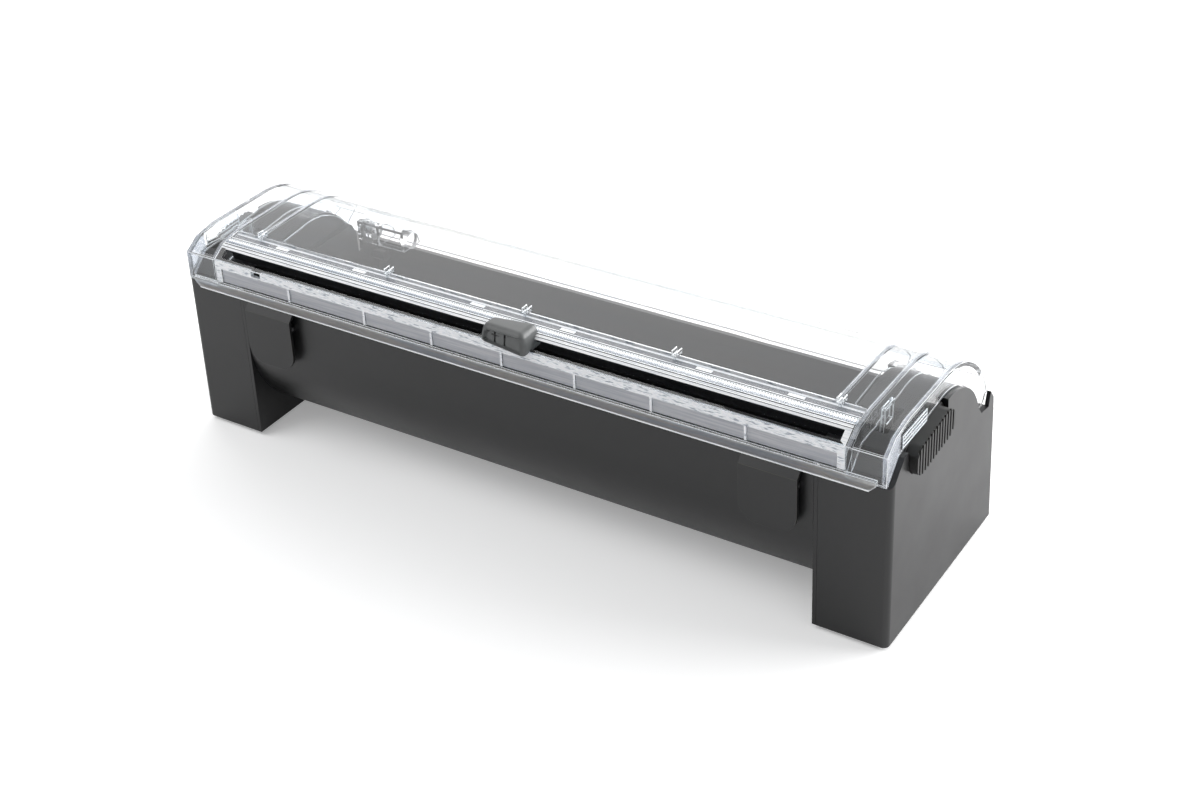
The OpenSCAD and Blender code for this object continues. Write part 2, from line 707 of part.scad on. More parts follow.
module window_rib(x, t) block([x - t/2, -lid_reach, front_h + lip_top + seat],
    [x + t/2, lid_wall - lid_reach, lid_corner[1] - bar_h + seat]);
module strip_outline(g, up) polygon([[strip_y - g, strip_z(-g) - g],
    [strip_y + strip_w + g, strip_z(strip_w + g) - g],
    [strip_y + strip_w + g, strip_z(strip_w + g) + strip_t + up],
    [strip_y - g, strip_z(-g) + strip_t + up]]);
// Height of the strip's underside at this distance behind its front edge
function strip_z(d) = rail_z(strip_y) - strip_sink
    + d*(rail_z(strip_y + strip_w) - rail_z(strip_y))/strip_w;
module serrated_strip() color([0.8, 0.82, 0.84, 0.6]) placed()
    band(seat - track_x, track_x - seat) strip_outline(0, 0);
module track_clips() color([0.9, 0.93, 0.96, 0.5]) placed() for (share = clip_shares)
    translate([share*track_x, seam_y - clip_l/2, lid_top + seat/2]) {
        translate([-clip_gap/2 - clip_t, 0, 0]) cube([clip_gap + 2*clip_t, clip_l, clip_base]);
        for (s = [0, 1]) translate([-clip_gap/2 - clip_t + s*(clip_gap + clip_t), 0, 0])
            cube([clip_t, clip_l, clip_h]);
        block([-clip_t, 0, rail_z(seam_y) - lid_top], [clip_t, clip_t, clip_base]);
    }

// Frame of length l that hangs from the lid's rear wall, with a lug at each end. The uprights stand
// at these shares of its length, and the front plate has a window between them
module hinge_bracket(l, shares) difference() {
    intersection() {
        union() {
            block([bracket_out - l, hinge[0] - bracket_front, hinge[1] - bracket_low],
                [bracket_out, hinge[0] - bracket_front + bracket_bar, hinge[1] + bracket_high]);
            for (share = shares) band(upright_x(l, share), upright_x(l, share) + bracket_side)
                translate(hinge - [bracket_front, bracket_low])
                    square([2*bracket_front + hinge_inset, bracket_low + bracket_high]);
            for (x = [bracket_out - l, bracket_out - lug_l]) rod(x, x + lug_l, hinge, lug_r);
            block([bracket_out - l, hinge[0] - bracket_front, hinge[1] + bracket_high - bracket_bar],
                [bracket_out, shell_d, hinge[1] + bracket_high]);
        }
        band(0, end_x) slice(lid_arc, lid_r - lid_wall - seat/2, 0, 90);
    }
    for (i = [1:len(shares) - 1]) block(
        [upright_x(l, shares[i - 1]) + bracket_side, 0, hinge[1] - bracket_low + bracket_bar],
        [upright_x(l, shares[i]), hinge[0] - lug_r - seat, hinge[1] + bracket_high - bracket_bar]);
    rod(bracket_out - lug_l - over, end_x, hinge, pin_r + run_fit);
}
function upright_x(l, share) = bracket_out - l + share*(l - bracket_side);
module left_hinge_bracket() color([0.85, 0.9, 0.95, 0.5]) placed() mirror([1, 0, 0])
    hinge_bracket(bracket_l, bracket_shares);
module right_hinge_bracket() color([0.85, 0.9, 0.95, 0.5]) placed()
    hinge_bracket(short_bracket_l, short_bracket_shares);

module lid_catch() difference() {
    union() {
        block([catch_in, catch_y, catch_bottom],
            [catch_in + catch_t, catch_y + catch_w, lid_top - lid_wall - seat]);
        block([catch_in, catch_y, catch_bottom],
            [catch_in + catch_t + catch_nose, catch_y + catch_w, catch_bottom + catch_nose_h]);
    }
    translate([catch_in - over, catch_y + (catch_w - catch_window_w)/2, catch_window_low])
        cube([catch_t + 2*over, catch_window_w, catch_window_h]);
}
module left_lid_catch() color([0.85, 0.9, 0.95, 0.5]) placed() mirror([1, 0, 0]) lid_catch();
module right_lid_catch() color([0.85, 0.9, 0.95, 0.5]) placed() lid_catch();

module cutter_knob() color([0.42, 0.42, 0.41]) placed() translate([knob_x, 0, 0]) difference() {
    hull() {
        translate([0, knob_body[0], knob_body[1]]) scale(knob_body_r) sphere(1, $fn = 32);
        translate([0, knob_nose[0], knob_nose[1]]) scale(knob_nose_r) sphere(1, $fn = 32);
    }
    band(-knob_l, knob_l) { lid_region(-knob_gap); strip_outline(knob_gap, knob_gap); }
    on_facet() translate([-carriage_l/2 - seat, stem_clear - slot_w/2 - seat, 0])
        cube([carriage_l + 2*seat, slot_w - 2*stem_clear + 2*seat, stem_up + seat]);
}
carriage_top = -lid_wall - carriage_gap;
carriage_low = carriage_top - carriage_t;
module cutter_carriage() color([0.12, 0.12, 0.12]) placed() at_knob() difference() {
    union() {
        translate([-carriage_l/2, stem_clear - slot_w/2, carriage_low])
            cube([carriage_l, slot_w - 2*stem_clear, stem_up - carriage_low]);
        translate([-carriage_l*2/3, -carriage_front, carriage_low])
            cube([carriage_l*4/3, carriage_front + carriage_back, carriage_t]);
        translate([-carriage_l/2, -blade_t/2 - leg_t, carriage_low - leg_h])
            cube([carriage_l, leg_t, leg_h]);
    }
    translate([0, 0, carriage_low - leg_h/2]) rotate([90, 0, 0]) cylinder(h = 4*leg_t, r = screw_r);
}
module cutter_blade() color([0.75, 0.76, 0.78]) placed() at_knob() difference() {
    rotate([90, 0, 0]) translate([0, 0, seat/2 - blade_t/2]) linear_extrude(blade_t - seat) polygon([
        [-blade_w/2, carriage_low - seat], [blade_w/2, carriage_low - seat],
        [blade_w/2, blade_shoulder - channel_reach - blade_dip], [0, -channel_reach - blade_dip],
        [-blade_w/2, blade_shoulder - channel_reach - blade_dip]]);
    translate([0, blade_t, carriage_low - leg_h/2]) rotate([90, 0, 0])
        cylinder(h = 2*blade_t, r = screw_r + seat);
}
module blade_clamp() color([0.12, 0.12, 0.12]) placed() at_knob() difference() {
    translate([-carriage_l/2, blade_t/2, carriage_low - leg_h]) cube([carriage_l, leg_t, leg_h - seat]);
    translate([0, 4*leg_t, carriage_low - leg_h/2]) rotate([90, 0, 0])
        cylinder(h = 4*leg_t, r = screw_r + seat);
}
module blade_screw() color([0.7, 0.7, 0.7]) placed() at_knob()
    translate([0, blade_t/2 + leg_t, carriage_low - leg_h/2]) rotate([90, 0, 0]) {
        cylinder(h = blade_t + 2*leg_t, r = screw_r);
        translate([0, 0, -screw_head_t]) cylinder(h = screw_head_t, r = screw_head_r);
    }

// Front tab: a D-shaped plate with a sloping ledge, rocking on its pin
module front_latch() difference() {
    union() {
        intersection() {
            band(tab_x - tab_w/2, tab_x + tab_w/2) polygon([[-tab_face, tab_low],
                [-tab_face, tab_top - tab_ledge[1]], [tab_ledge[0] - tab_face, tab_top],
                [-tab_inner, tab_top], [-tab_inner, tab_top - tab_t],
                [tab_ledge[0] - tab_face + tab_inner, tab_top - tab_t],
                [tab_t - tab_face, tab_top - tab_ledge[1] - tab_inner], [tab_t - tab_face, tab_low]]);
            translate([tab_x, over, 0]) rotate([90, 0, 0]) linear_extrude(tab_face + 2*over) {
                for (s = [-1, 1]) translate([s*(tab_w/2 - tab_corner), tab_low + tab_corner])
                    circle(tab_corner);
                translate([tab_corner - tab_w/2, tab_low])
                    square([tab_w - 2*tab_corner, tab_h + 2*tab_ledge[1]]);
                translate([-tab_w/2, tab_low + tab_corner]) square([tab_w, tab_h + tab_ledge[1]]);
            }
        }
        rod(tab_x - tab_ear_x + tab_ear_t, tab_x + tab_ear_x - tab_ear_t, tab_pin, tab_boss_r);
        block([tab_x - tab_ear_x + tab_ear_t, -tab_face + tab_t/2, tab_pin[1] - tab_boss_r],
            [tab_x + tab_ear_x - tab_ear_t, tab_pin[0], tab_pin[1] + tab_boss_r]);
    }
    rod(tab_x - tab_w, tab_x + tab_w, tab_pin, tab_pin_r + run_fit);
}
module left_front_latch() color([0.15, 0.15, 0.155]) placed() mirror([1, 0, 0]) front_latch();
module right_front_latch() color([0.15, 0.15, 0.155]) placed() front_latch();
module latch_pins() color([0.7, 0.7, 0.7]) placed() both()
    rod(tab_x - tab_ear_x - tab_ear_t/2, tab_x + tab_ear_x + tab_ear_t/2, tab_pin, tab_pin_r);
module latch_spring() translate([tab_x, -seat, tab_pin[1] - tab_spring_down]) rotate([90, 0, 0])
    difference() {
        cylinder(h = tab_face - tab_t - 2*seat, r = tab_spring_r);
        translate([0, 0, -over]) cylinder(h = tab_face + over, r = tab_spring_r - spring_wall/2);
    }
module left_latch_spring() color([0.7, 0.7, 0.7]) placed() mirror([1, 0, 0]) latch_spring();
module right_latch_spring() color([0.7, 0.7, 0.7]) placed() latch_spring();

trough();
cutting_bed();
film_grip_strip();
left_end_housing();
right_end_housing();
left_cheek_plate();
right_cheek_plate();
left_base_plate();
right_base_plate();
rubber_feet();
base_screws();
trough_screws();
cheek_screws();
guide_screws();
hinge_pins();
left_button_guide();
right_button_guide();
latch_pins();
lid_shell();
cutter_track();
serrated_strip();
track_clips();
left_hinge_bracket();
right_hinge_bracket();
left_lid_catch();
right_lid_catch();
cutter_knob();
cutter_carriage();
cutter_blade();
blade_clamp();
blade_screw();
left_button();
right_button();
left_button_spring();
right_button_spring();
left_front_latch();
right_front_latch();
left_latch_spring();
right_latch_spring();
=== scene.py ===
# Vacuum bag roll cutter: black trough between two end housings, clear hinged lid, sliding knob cutter.
import bpy
import json
import math
from mathutils import Matrix, Vector


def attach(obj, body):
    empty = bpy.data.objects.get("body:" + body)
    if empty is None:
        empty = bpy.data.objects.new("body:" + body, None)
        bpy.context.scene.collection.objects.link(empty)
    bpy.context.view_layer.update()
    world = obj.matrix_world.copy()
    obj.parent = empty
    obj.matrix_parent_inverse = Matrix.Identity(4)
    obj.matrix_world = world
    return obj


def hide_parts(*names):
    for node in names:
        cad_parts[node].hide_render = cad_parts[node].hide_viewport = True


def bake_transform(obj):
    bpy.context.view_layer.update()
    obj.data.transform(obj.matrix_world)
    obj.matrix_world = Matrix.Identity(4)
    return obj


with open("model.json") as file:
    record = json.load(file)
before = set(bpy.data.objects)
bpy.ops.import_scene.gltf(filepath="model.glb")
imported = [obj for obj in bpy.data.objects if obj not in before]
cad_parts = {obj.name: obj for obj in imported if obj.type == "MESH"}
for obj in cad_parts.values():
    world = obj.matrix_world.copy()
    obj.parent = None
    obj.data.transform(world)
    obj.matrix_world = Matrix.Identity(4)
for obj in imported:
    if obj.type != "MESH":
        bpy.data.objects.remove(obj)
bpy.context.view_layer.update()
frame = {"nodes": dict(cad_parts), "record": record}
record = frame["record"]
slotOf = {row["node"]: row["material_slot"] for row in record["subparts"]}
bodyOf = {node: body for body, nodes in record["behaviour"]["bodies"].items() for node in nodes}
mm = 0.001
frontY = -54 * mm  # the front wall of the body
print("frame loaded")

cameraView = {
    "place": (0.467303, -0.684996, 0.565754),
    "azimuth": 34.916, "elevation": 28.397, "roll": -3.389,
    "focalPixels": 1990.2, "principalPixel": (544.37, 263.28), "framePixels": (1200, 800),
    "sensor": 36, "clip": (0.05, 30),
}


def makeCamera(view):
    turn, lift, roll = (math.radians(view[k]) for k in ("azimuth", "elevation", "roll"))
    back = Vector((math.sin(turn) * math.cos(lift), -math.cos(turn) * math.cos(lift), math.sin(lift)))
    level = Vector((math.cos(turn), math.sin(turn), 0))
    upright = back.cross(level)
    right = math.cos(roll) * level + math.sin(roll) * upright
    up = math.cos(roll) * upright - math.sin(roll) * level
    wide, high = view["framePixels"]
    data = bpy.data.cameras.new("photoCamera")
    camera = bpy.data.objects.new("photoCamera", data)
    bpy.context.scene.collection.objects.link(camera)
    camera.matrix_world = Matrix.Translation(view["place"]) @ Matrix((right, up, back)).transposed().to_4x4()
    data.sensor_width = view["sensor"]
    data.lens = view["focalPixels"] / wide * data.sensor_width
    data.shift_x = (wide / 2 - view["principalPixel"][0]) / wide
    data.shift_y = (view["principalPixel"][1] - high / 2) / wide
    data.clip_start, data.clip_end = view["clip"]
    bpy.context.scene.camera = camera
    print("camera placed")


makeCamera(cameraView)


# Materials: lengths in their settings are the real sizes of grain, clouds and waves
def hexColour(code):
    values = [int(code[i:i + 2], 16) / 255 for i in (1, 3, 5)]
    return tuple(v / 12.92 if v <= 0.04045 else ((v + 0.055) / 1.055) ** 2.4 for v in values) + (1,)


def startMaterial(name):
    material = bpy.data.materials.new(name)
    material.use_nodes = True
    material.node_tree.nodes.clear()
    return material


def addNode(material, kind, settings=None, links=None):
    # settings go on the node, its sockets or its colour stops; links join an input to (node, output)
    node = material.node_tree.nodes.new(kind)
    for key, value in (settings or {}).items():
        if key == "stops":
            ramp = node.color_ramp
            while len(ramp.elements) < len(value):
                ramp.elements.new(0.5)
            for stop, (place, code) in zip(ramp.elements, value):
                stop.position, stop.color = place, hexColour(code)
        elif isinstance(key, int) or key in node.inputs:
            node.inputs[key].default_value = value
        else:
            setattr(node, key, value)
    for key, (source, output) in (links or {}).items():
        material.node_tree.links.new(source.outputs[output], node.inputs[key])
    return node


def addGrain(material, settings):
    # fine moulding grain as bump, and broad clouds that move the roughness a little
    place = addNode(material, "ShaderNodeTexCoord")
    grain = addNode(material, "ShaderNodeTexNoise", {"Scale": 1 / settings["grain"], "Detail": 2},
                    {"Vector": (place, "Object")})
    bump = addNode(material, "ShaderNodeBump",
                   {"Strength": settings["strength"], "Distance": settings["depth"]},
                   {"Height": (grain, "Fac")})
    cloud = addNode(material, "ShaderNodeTexNoise", {"Scale": 1 / settings["cloud"], "Detail": 3},
                    {"Vector": (place, "Object")})
    low, high = settings["rough"]
    rough = addNode(material, "ShaderNodeMapRange",
                    {"From Min": 0.3, "From Max": 0.7, "To Min": low, "To Max": high},
                    {"Value": (cloud, "Fac")})
    tint = addNode(material, "ShaderNodeValToRGB", {"stops": settings["stops"]}, {"Fac": (cloud, "Fac")})
    return {"Normal": (bump, "Normal"), "Roughness": (rough, "Result"), "Base Color": (tint, "Color")}


def endSolid(material, settings, links):
    shader = addNode(material, "ShaderNodeBsdfPrincipled", settings, links)
    addNode(material, "ShaderNodeOutputMaterial", None, {"Surface": (shader, "BSDF")})


def endClear(material, settings, links, passed):
    # lamps and scattered light go straight through, as real clear plastic lets them, tinted by passed
    shader = addNode(material, "ShaderNodeBsdfPrincipled", settings, links)
    path = addNode(material, "ShaderNodeLightPath")
    either = addNode(material, "ShaderNodeMath", {"operation": "MAXIMUM"},
                     {0: (path, "Is Shadow Ray"), 1: (path, "Is Diffuse Ray")})
    through = addNode(material, "ShaderNodeBsdfTransparent", {"Color": hexColour(passed)})
    mix = addNode(material, "ShaderNodeMixShader", None,
                  {0: (either, "Value"), 1: (shader, "BSDF"), 2: (through, "BSDF")})
    addNode(material, "ShaderNodeOutputMaterial", None, {"Surface": (mix, "Shader")})


# Moulded ABS, satin: near black, so what the eye sees is the pale room on it, broken up by a very fine grain
blackAbs = startMaterial("mouldedAbsBlack")
endSolid(blackAbs, {"IOR": 1.53}, addGrain(blackAbs, {
    "grain": 0.5 * mm, "strength": 0.06, "depth": 0.02 * mm, "cloud": 30 * mm, "rough": (0.35, 0.41),
    "stops": ((0.3, "#0c0c0e"), (0.7, "#101011"))}))

# The same ABS off a coarser tool, matt: the ribbed buttons and inner walls look drier than the housings
mattAbs = startMaterial("mouldedAbsMatt")
endSolid(mattAbs, {"IOR": 1.5}, addGrain(mattAbs, {
    "grain": 0.7 * mm, "strength": 0.25, "depth": 0.04 * mm, "cloud": 18 * mm, "rough": (0.46, 0.54),
    "stops": ((0.3, "#0f0f0f"), (0.7, "#161614"))}))

# Edges of buttons and tabs: a painted highlight, olive grey lines on the black where their rounded edges
# catch the light
paintedHighlightEdge = startMaterial("paintedHighlightAbsEdge")
endSolid(paintedHighlightEdge, {"IOR": 1.5}, addGrain(paintedHighlightEdge, {
    "grain": 0.6 * mm, "strength": 0.1, "depth": 0.02 * mm, "cloud": 6 * mm, "rough": (0.3, 0.4),
    "stops": ((0.3, "#34342d"), (0.7, "#42423a"))}))

# Bed under the slot: painted shade, a duller and darker black than the housings that stands for the shade
# under the lid, so that the slot reads as one dark line
paintedShadeAbs = startMaterial("paintedShadeAbsBlack")
endSolid(paintedShadeAbs, {"IOR": 1.5, "Specular IOR Level": 0.15}, addGrain(paintedShadeAbs, {
    "grain": 0.8 * mm, "strength": 0.2, "depth": 0.04 * mm, "cloud": 12 * mm, "rough": (0.68, 0.76),
    "stops": ((0.3, "#050505"), (0.7, "#080808"))}))

# Grey ABS of the knob: satin neutral grey, with a soft highlight along its brow
greyAbs = startMaterial("mouldedAbsGrey")
endSolid(greyAbs, {"IOR": 1.52}, addGrain(greyAbs, {
    "grain": 0.45 * mm, "strength": 0.18, "depth": 0.03 * mm, "cloud": 8 * mm, "rough": (0.36, 0.44),
    "stops": ((0.3, "#4c4e4e"), (0.7, "#565858"))}))

# Acetal of the button guides: waxy off-white
whiteAcetal = startMaterial("mouldedAcetalWhite")
endSolid(whiteAcetal, {
    "IOR": 1.48, "Subsurface Weight": 0.1, "Subsurface Radius": (1.2 * mm, 1 * mm, 0.8 * mm),
}, addGrain(whiteAcetal, {
    "grain": 0.6 * mm, "strength": 0.1, "depth": 0.02 * mm, "cloud": 9 * mm, "rough": (0.38, 0.46),
    "stops": ((0.3, "#dcdad0"), (0.7, "#e4e2d9"))}))

# Rubber of the feet and the film strip: dry, dark and speckled
darkRubber = startMaterial("mouldedRubberBlack")
endSolid(darkRubber, {"IOR": 1.5}, addGrain(darkRubber, {
    "grain": 0.3 * mm, "strength": 0.4, "depth": 0.05 * mm, "cloud": 5 * mm, "rough": (0.7, 0.85),
    "stops": ((0.3, "#121212"), (0.7, "#1a1a19"))}))

# Zinc plated steel of screws, pins and springs: bright, with a faint cloudy plating
zincSteel = startMaterial("zincPlatedSteel")
endSolid(zincSteel, {"Metallic": 1}, addGrain(zincSteel, {
    "grain": 0.4 * mm, "strength": 0.1, "depth": 0.01 * mm, "cloud": 3 * mm, "rough": (0.22, 0.38),
    "stops": ((0.3, "#a9aaae"), (0.7, "#bdbec0"))}))

# Ground blade steel: the grinding lines run across the blade, so the bump is drawn out along its height
groundSteel = startMaterial("groundBladeSteel")
bladeLine = {"across": 1 / (0.15 * mm), "along": 1 / (6 * mm), "depth": 0.01 * mm}
bladePlace = addNode(groundSteel, "ShaderNodeTexCoord")
bladeDraw = addNode(groundSteel, "ShaderNodeMapping",
                    {"Scale": (bladeLine["across"], bladeLine["across"], bladeLine["along"])},
                    {"Vector": (bladePlace, "Object")})
bladeLines = addNode(groundSteel, "ShaderNodeTexNoise", {"Scale": 1, "Detail": 2},
                     {"Vector": (bladeDraw, "Vector")})
bladeBump = addNode(groundSteel, "ShaderNodeBump", {"Strength": 0.3, "Distance": bladeLine["depth"]},
                    {"Height": (bladeLines, "Fac")})
bladeTint = addNode(groundSteel, "ShaderNodeValToRGB", {"stops": ((0.3, "#b8babd"), (0.7, "#cfd1d4"))},
                    {"Fac": (bladeLines, "Fac")})
endSolid(groundSteel, {"Metallic": 1, "Roughness": 0.24},
         {"Normal": (bladeBump, "Normal"), "Base Color": (bladeTint, "Color")})


def addClearFlow(material, settings):
    # waves of a moulded sheet as bump, and the faint colours of strain in it; waves gives their lengths
    place = addNode(material, "ShaderNodeTexCoord")
    stretch = addNode(material, "ShaderNodeMapping", {"Scale": [1 / (v * mm) for v in settings["waves"]]},
                      {"Vector": (place, "Object")})
    flow = addNode(material, "ShaderNodeTexNoise", {"Scale": 1, "Detail": settings["detail"]},
                   {"Vector": (stretch, "Vector")})
    bump = addNode(material, "ShaderNodeBump",
                   {"Strength": settings["strength"], "Distance": settings["depth"]},
                   {"Height": (flow, "Fac")})
    tint = addNode(material, "ShaderNodeValToRGB", {"stops": settings["stops"]}, {"Fac": (flow, "Fac")})
    return {"Normal": (bump, "Normal"), "Base Color": (tint, "Color")}


# Clear polycarbonate, polished: seen straight through, with a slow waviness in what it mirrors
clearSheet = startMaterial("polishedPolycarbonate")
endClear(clearSheet, {"IOR": 1.49, "Roughness": 0.015, "Transmission Weight": 1}, addClearFlow(clearSheet, {
    "waves": (60, 18, 18), "detail": 1, "strength": 0.25, "depth": 0.25 * mm,
    "stops": ((0.35, "#f7fafd"), (0.65, "#fdfcfb"))}), "#f4f6f7")

# The same sheet where its edges catch the light: a milky line against black, a thin grey one against white
litEdge = startMaterial("litPolycarbonateEdge")
endClear(litEdge, {"IOR": 1.49, "Roughness": 0.3, "Transmission Weight": 0.12}, addClearFlow(litEdge, {
    "waves": (9, 9, 9), "detail": 2, "strength": 0.3, "depth": 0.1 * mm,
    "stops": ((0.3, "#eef2f6"), (0.7, "#fbfcfd"))}), "#d0d4d8")

# Spark-eroded bar in front of the slot: milky white, crumpled by streaks along its length
crumpledBar = startMaterial("sparkedPolycarbonateBar")
endClear(crumpledBar, {
    "IOR": 1.49, "Roughness": 0.22, "Transmission Weight": 0.1,
}, addClearFlow(crumpledBar, {
    "waves": (5, 0.9, 0.9), "detail": 4, "strength": 0.9, "depth": 0.5 * mm,
    "stops": ((0.36, "#a4aab4"), (0.44, "#eef2f6"), (0.56, "#fbfafc"), (0.68, "#e2e8f0"))}), "#c8ccd0")

# The rail beside the slot: white haze of a ground surface, drawn along its length
milkyRail = startMaterial("groundPolycarbonateRail")
endClear(milkyRail, {"IOR": 1.49, "Roughness": 0.3, "Transmission Weight": 0.05}, addClearFlow(milkyRail, {
    "waves": (14, 0.6, 0.6), "detail": 4, "strength": 0.4, "depth": 0.2 * mm,
    "stops": ((0.34, "#d2d6dc"), (0.44, "#f2f4f6"), (0.58, "#fdfdfd"), (0.68, "#e8ebef"))}), "#d8dcdf")

# Walls of the slot: so little light gets in that the clear plastic looks black
slotWall = startMaterial("shadedPolycarbonateWall")
endClear(slotWall, {
    "IOR": 1.49, "Roughness": 0.5, "Specular IOR Level": 0.1, "Transmission Weight": 0.1,
}, addClearFlow(slotWall, {
    "waves": (20, 3, 3), "detail": 1, "strength": 0.1, "depth": 0.05 * mm,
    "stops": ((0.3, "#0a0a0b"), (0.7, "#121213"))}), "#c0c0c0")

# Thinner haze of the rims and of the rail's rear part: mid grey over the black behind
hazyRim = startMaterial("hazyPolycarbonateRim")
endClear(hazyRim, {"IOR": 1.49, "Roughness": 0.26, "Transmission Weight": 0.74}, addClearFlow(hazyRim, {
    "waves": (12, 2, 2), "detail": 3, "strength": 0.25, "depth": 0.1 * mm,
    "stops": ((0.35, "#c6ccd6"), (0.65, "#eceef2"))}), "#d4d8dc")

# Satin window band: a light grey haze over the black behind, brushed lengthways
satinBand = startMaterial("satinPolycarbonateBand")
endClear(satinBand, {"IOR": 1.49, "Roughness": 0.32, "Transmission Weight": 0.5}, addClearFlow(satinBand, {
    "waves": (30, 0.8, 0.8), "detail": 3, "strength": 0.3, "depth": 0.1 * mm,
    "stops": ((0.35, "#cdd0d8"), (0.65, "#e9e9ee"))}), "#c4c8cc")

# Lip: thinner haze, so the black shows more, with the warm and cool tints of strain
satinLip = startMaterial("satinPolycarbonateLip")
endClear(satinLip, {"IOR": 1.49, "Roughness": 0.28, "Transmission Weight": 0.82}, addClearFlow(satinLip, {
    "waves": (45, 2.5, 2.5), "detail": 3, "strength": 0.35, "depth": 0.15 * mm,
    "stops": ((0.34, "#c9d0dc"), (0.45, "#dcd8da"), (0.55, "#dcd8d2"), (0.66, "#d4d9e1"))}), "#ccd0d2")
print("materials made")

slotMaterials = {"black_plastic": blackAbs, "dark_inner_plastic": mattAbs, "clear_plastic": clearSheet,
                 "grey_plastic": greyAbs, "white_plastic": whiteAcetal, "rubber": darkRubber,
                 "blade_steel": groundSteel, "steel": zincSteel}
for name, node in frame["nodes"].items():
    for materialSlot in node.material_slots:
        materialSlot.material = slotMaterials[slotOf[name]]


# Dressed pieces: each is a merged copy of its CAD node with rounded edges. Places are typed in mm, with y
# from the front wall; merge is a distance in mm, the other three are angles between faces in degrees
dressing = {"merge": 0.005, "flat": 1, "roundFrom": 28, "smoothTo": 40}


def atFront(x, y, z):
    return (x * mm, frontY + y * mm, z * mm)


def inMm(*values):
    return [v * mm for v in values]


def selectOnly(piece):
    bpy.ops.object.select_all(action="DESELECT")
    piece.select_set(True)
    bpy.context.view_layer.objects.active = piece


def applyModifier(piece, kind, settings):
    selectOnly(piece)
    modifier = piece.modifiers.new(kind.lower(), kind)
    for key, value in settings.items():
        setattr(modifier, key, value)
    bpy.ops.object.modifier_apply(modifier=modifier.name)


def smoothPiece(piece, degrees):
    selectOnly(piece)
    bpy.ops.object.shade_smooth_by_angle(angle=math.radians(degrees))
    applyModifier(piece, "WEIGHTED_NORMAL", {"weight": 60, "keep_sharp": True})


def copyNode(nodeName, pieceName):
    # a copy of the CAD node with its doubled vertices merged, left in edit mode with all selected
    piece = bpy.data.objects.new(pieceName, frame["nodes"][nodeName].data.copy())
    piece.data.name = pieceName
    bpy.context.scene.collection.objects.link(piece)
    selectOnly(piece)
    bpy.ops.mesh.customdata_custom_splitnormals_clear()
    bpy.ops.object.mode_set(mode="EDIT")
    bpy.ops.mesh.select_all(action="SELECT")
    bpy.ops.mesh.remove_doubles(threshold=dressing["merge"] * mm)
    return piece


def giveFinishes(piece, finishes):
    piece.data.materials.clear()
    for finish in finishes:
        piece.data.materials.append(finish)


def placePiece(piece, nodeName):
    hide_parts(nodeName)
    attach(piece, bodyOf[nodeName])


def dressNode(nodeName, pieceName, finishes, look):
    # look: edge and segments of the rounding, edgeFinish on it (not where hidden says), pads that are added,
    # cuts across the mesh, and zones: a finish and the test of the faces that get it, where the last one wins
    piece = copyNode(nodeName, pieceName)
    bpy.ops.mesh.mark_sharp(clear=True)
    bpy.ops.mesh.dissolve_limited(angle_limit=math.radians(dressing["flat"]))
    for place, size in look.get("pads", ()):
        bpy.ops.mesh.primitive_cube_add(size=1, location=place, scale=size)
    for place, normal in look.get("cuts", ()):
        bpy.ops.mesh.select_all(action="SELECT")
        bpy.ops.mesh.bisect(plane_co=place, plane_no=normal)
    bpy.ops.object.mode_set(mode="OBJECT")
    giveFinishes(piece, finishes)
    for face in piece.data.polygons:
        face.material_index = 0
        for finish, inZone in look.get("zones", ()):
            if inZone(face.center, face.normal):
                face.material_index = finishes.index(finish)
    edgeIndex = finishes.index(look["edgeFinish"]) if "edgeFinish" in look else -1
    applyModifier(piece, "BEVEL", {
        "width": look["edge"] * mm, "segments": look.get("segments", 2), "limit_method": "ANGLE",
        "angle_limit": math.radians(dressing["roundFrom"]), "material": edgeIndex, "use_clamp_overlap": True,
        "loop_slide": True, "miter_outer": "MITER_ARC"})
    for face in piece.data.polygons:
        if "hidden" in look and face.material_index == edgeIndex and look["hidden"](face.center):
            face.material_index = 0
    smoothPiece(piece, dressing["smoothTo"])
    placePiece(piece, nodeName)


# tabs and buttons take the painted highlight finish on their rounded edges
tabLook = {"edge": 0.35, "edgeFinish": paintedHighlightEdge}
buttonLook = {"edge": 0.3, "edgeFinish": paintedHighlightEdge}
blackLooks = {
    "trough": ("troughShell", [blackAbs], {"edge": 0.35}),
    "cutting_bed": ("cuttingBedBar", [paintedShadeAbs], {"edge": 0.3}),
    "left_end_housing": ("leftEndHousing", [blackAbs], {"edge": 0.45}),
    "right_end_housing": ("rightEndHousing", [blackAbs], {"edge": 0.45}),
    "left_cheek_plate": ("leftCheekPlate", [blackAbs], {"edge": 0.3}),
    "right_cheek_plate": ("rightCheekPlate", [blackAbs], {"edge": 0.3}),
    "left_base_plate": ("leftBasePlate", [mattAbs], {"edge": 0.3}),
    "right_base_plate": ("rightBasePlate", [mattAbs], {"edge": 0.3}),
    "left_front_latch": ("leftFrontTab", [blackAbs, paintedHighlightEdge], tabLook),
    "right_front_latch": ("rightFrontTab", [blackAbs, paintedHighlightEdge], tabLook),
    "left_button": ("leftEndButton", [mattAbs, paintedHighlightEdge], buttonLook),
    "right_button": ("rightEndButton", [mattAbs, paintedHighlightEdge], buttonLook),
    "cutter_carriage": ("cutterCarriage", [mattAbs], {"edge": 0.2}),
}
for nodeName, (pieceName, finishes, look) in blackLooks.items():
    dressNode(nodeName, pieceName, finishes, look)
print("black pieces dressed")

# Clear pieces, with a lit edge and finishes chosen by where a face lies and which way it looks
near = 0.05 * mm


def looksForward(normal):
    return normal.y < -0.98


def between(value, limits):
    return limits[0] * mm < value < limits[1] * mm


def acrossX(*places):
    return [((side * x * mm, 0, 0), (1, 0, 0)) for x in places for side in (-1, 1)]


def alongRail(*places):
    return [(atFront(0, y, 0), (0, 1, 0)) for y in places]


